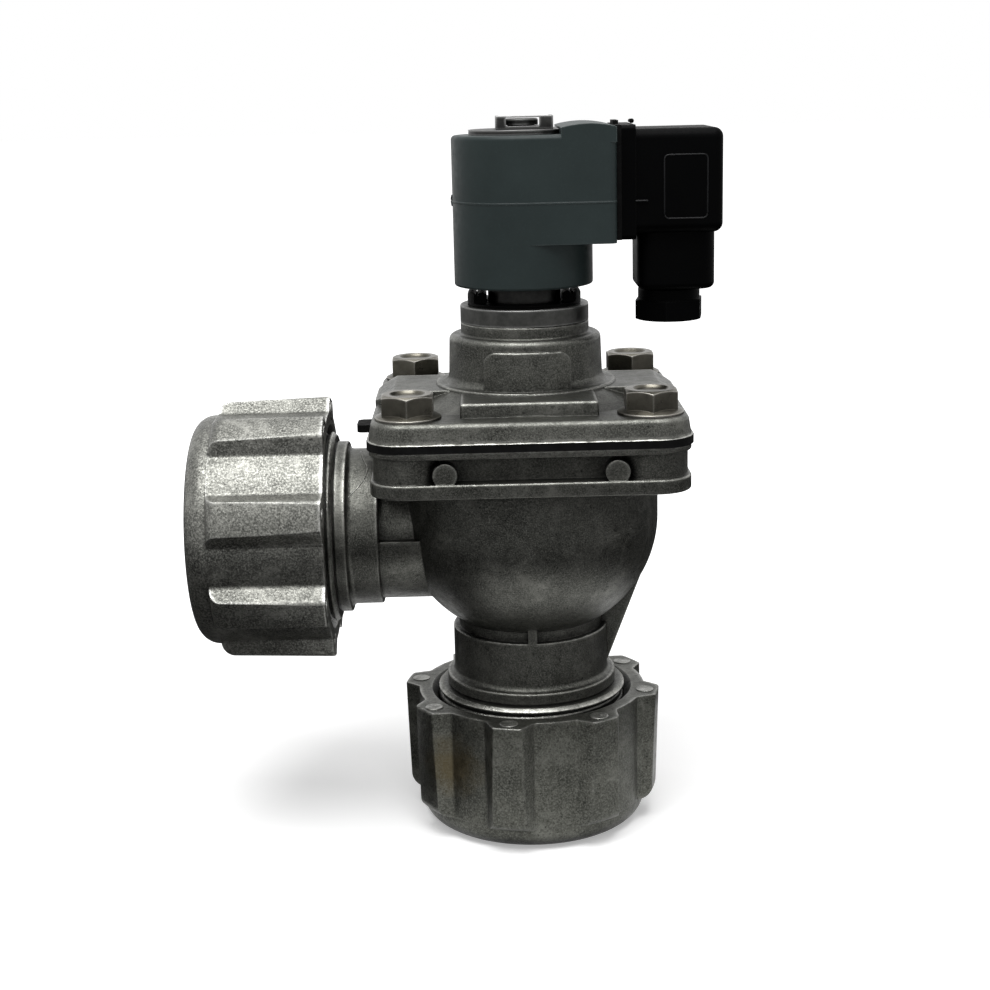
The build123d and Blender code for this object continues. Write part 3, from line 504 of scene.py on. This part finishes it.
def neck_seam(steps=40):
    """Parting line that climbs the front of the inlet's neck and hooks back at its top."""
    points = []
    for i in range(steps + 1):
        t = i / steps
        z = SEAM_LOW_Z + SEAM_RISE * t
        hook = SEAM_HOOK * max(0.0, t - SEAM_HOOK_FROM) / (1 - SEAM_HOOK_FROM)
        x = SEAM_X + SEAM_SWING * sin(min(1.0, 1.35 * t) * pi / 2) - hook
        points.append((x, -(max(0.0, NECK_R ** 2 - (z - INLET_Z) ** 2) ** 0.5), z))
    bead("neck_seam", points, [0.12 + 0.05 * wavy(i, 3.0) for i in range(len(points))], cast, "valve")


def plug_frame(steps=6):
    """Raised frame with rounded corners on the plug's side."""
    points = []
    left, right = FRAME_X
    low, high = FRAME_Z
    for turn, (x, z) in enumerate(((right, high), (left, high), (left, low), (right, low))):
        for i in range(steps + 1):
            a = pi / 2 * (turn + i / steps)
            points.append((x + FRAME_CORNER * cos(a), PLUG_SIDE_Y, z + FRAME_CORNER * sin(a)))
    radii = [FRAME_LINE_R] * len(points)
    bead("plug_frame", points, radii, line_plastic, "coil", closed=True)


def plug_rib(count=11):
    """Short raised line on the plug's side."""
    x, y, z = PLUG_RIB_AT
    points = [(x + PLUG_RIB_STEP * i, y, z) for i in range(count)]
    bead("plug_rib", points, [PLUG_RIB_R] * count, line_plastic, "coil")


def gasket_hook(count=8):
    """Rubber hook that stands up over the plug."""
    x, y, z = HOOK_AT
    points = [(x, y + HOOK_STEP * i, z + 0.12 * wavy(i, 1.0)) for i in range(count)]
    radii = [HOOK_R - 0.02 * i for i in range(count)]
    bead("gasket_hook", points, radii, black_rubber, "coil")


def coil_tab(count=10):
    """Small curved tab on the coil's side."""
    x, y, z = TAB_AT
    points = [(x, y - 0.4 * cos(0.7 * i), z + TAB_STEP * i) for i in range(count)]
    radii = [TAB_R + 0.22 * sin(pi * i / (count - 1)) for i in range(count)]
    bead("coil_tab", points, radii, coil_plastic, "coil")


# Each port has its own frame, whose +Z runs from the nut's face into the valve
outlet_port = Matrix.Identity(4)
inlet_turn = Matrix(((0, 0, 1, 0), (0, 1, 0, 0), (-1, 0, 0, 0), (0, 0, 0, 1)))
inlet_port = Matrix.Translation((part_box("inlet_nut")[0].x, 0, INLET_Z * MM)) @ inlet_turn
ports = (("outlet", outlet_port, OUTLET_RIB_ANGLE, low_cast),
         ("inlet", inlet_port, INLET_RIB_ANGLE, lit_inlet_nut_cast))
for port, place, rib_angle, material in ports:
    thread(port + "_thread", place)
for k in range(RIB_COUNT):
    for port, place, rib_angle, material in ports:
        angle = radians(rib_angle + 360 / RIB_COUNT * k)
        spot = Matrix.Translation(Vector((MARK_AT * cos(angle), MARK_AT * sin(angle), MARK_Z)) * MM)
        disc_mark("%s_mark_%d" % (port, k), place @ spot, material, port + "_nut")

# Cast lips that close over the rubber's rim, and the rubber squeezed out between them
joint_line("cover_lip", LIP_HALF, LIP_CORNER, COVER_LIP_Z, 0.42, 0.12, 1.0, cast)
joint_line("flange_lip", LIP_HALF, LIP_CORNER, FLANGE_LIP_Z, 0.36, 0.14, 2.6, cast)
joint_line("rubber_flash", FLASH_HALF, FLASH_CORNER, FLASH_Z, 0.06, 0.22, 4.0, black_rubber)

neck_seam()
plug_frame()
plug_rib()
gasket_hook()
coil_tab()


# Studio

def studio_world():
    """White where the background is seen, and a dimmer light on the object."""
    world = bpy.data.worlds.new("studio")
    bpy.context.scene.world = world
    world.use_nodes = True
    tree = Tree(world.node_tree)
    strength = tree.add("MapRange", Value=tree.background_rays(), To_Min=0.28, To_Max=1.0).outputs[0]
    back = tree.add("Background", Color=WHITE, Strength=strength)
    tree.add("OutputWorld", Surface=back.outputs[0])


def studio_floor():
    """Pale floor that holds the shadow near the object and is white further off."""
    look = Look("studio_floor")
    look.finish(look.ramp(look.noise(60, 2, 0.5), (0.3, 0.86), (0.7, 0.88)), 0.9, 0.0, specular=0.0)
    away = look.add("VectorMath")
    away.operation = "LENGTH"
    look.put(away.inputs[0], look.coords["Object"])
    level = look.add("MapRange", Value=away.outputs["Value"], From_Min=NEAR_FLOOR / FLOOR_SIZE,
                     From_Max=FAR_FLOOR / FLOOR_SIZE, To_Min=0.35).outputs["Result"]
    glow = look.add("Emission", Color=WHITE, Strength=look.math("MULTIPLY", look.background_rays(), level))
    both = look.add("AddShader")
    look.put(both.inputs[0], look.shader.outputs[0])
    look.put(both.inputs[1], glow.outputs[0])
    look.put(look.out.inputs[0], both.outputs[0])
    bpy.ops.mesh.primitive_plane_add(size=1, location=(0, 0, -0.0002))
    floor = bpy.context.object
    floor.name = "floor"
    floor.scale = (FLOOR_SIZE, FLOOR_SIZE, 1)
    floor.data.materials.append(look.material)


def flag_ring(name, inner, outer, centre, z, material, steps=96):
    """Dark studio flag that lies on the floor, seen only in reflections. Sizes are metres."""
    turns = [2 * pi * i / steps for i in range(steps)]
    verts = [(centre[0] + r * cos(a), centre[1] + r * sin(a), z) for r in (inner, outer) for a in turns]
    faces = [(i, (i + 1) % steps, steps + (i + 1) % steps, steps + i) for i in range(steps)]
    mesh = bpy.data.meshes.new(name)
    mesh.from_pydata(verts, [], faces)
    mesh.materials.append(material)
    flag = bpy.data.objects.new(name, mesh)
    bpy.context.scene.collection.objects.link(flag)
    flag.visible_camera = False
    flag.visible_diffuse = False
    flag.visible_shadow = False


def lamp(name, place, size, power):
    """Soft rectangular lamp aimed at the object, in metres and watts."""
    data = bpy.data.lights.new(name, "AREA")
    data.shape = "RECTANGLE"
    data.size, data.size_y = size
    data.energy = power
    light = bpy.data.objects.new(name, data)
    bpy.context.scene.collection.objects.link(light)
    light.location = place
    light.rotation_euler = (Vector(LIGHT_AIM) - Vector(place)).to_track_quat("-Z", "Y").to_euler()


def photo_camera():
    """Camera at the photograph's own place and angle."""
    camera = bpy.data.cameras.new("camera")
    camera.sensor_width = 36
    camera.lens = LENS
    camera.clip_start = 0.01
    view = bpy.data.objects.new("camera", camera)
    bpy.context.scene.collection.objects.link(view)
    heading = Matrix.Rotation(YAW, 3, "Z")
    ahead = heading @ Vector((0, cos(PITCH), -sin(PITCH)))
    level = heading @ Vector((1, 0, 0))
    upright = level.cross(ahead)
    right = cos(ROLL) * level + sin(ROLL) * upright
    up = -sin(ROLL) * level + cos(ROLL) * upright
    view.matrix_world = Matrix.Translation(CAMERA_AT) @ Matrix((right, up, -ahead)).transposed().to_4x4()
    bpy.context.scene.camera = view
    bpy.context.scene.view_settings.view_transform = "Standard"


studio_world()
studio_floor()
flag_look = Look("studio_flag")
flag_cloth = flag_look.finish(flag_look.ramp(flag_look.noise(80, 2, 0.5), (0.3, 0.02), (0.7, 0.03)), 0.9, 0.0,
                              specular=0.0)
flag_ring("floor_flag", 0.10, 1.6, (0, 0), 0.0004, flag_cloth)
flag_ring("inlet_flag", 0.002, 0.055, (-0.095, -0.02), 0.0006, flag_cloth)
lamp("key", (-0.10, -0.36, 0.86), (0.70, 0.45), 7.5)
lamp("top", (0.05, 0.12, 0.95), (0.7, 0.5), 3.0)
photo_camera()
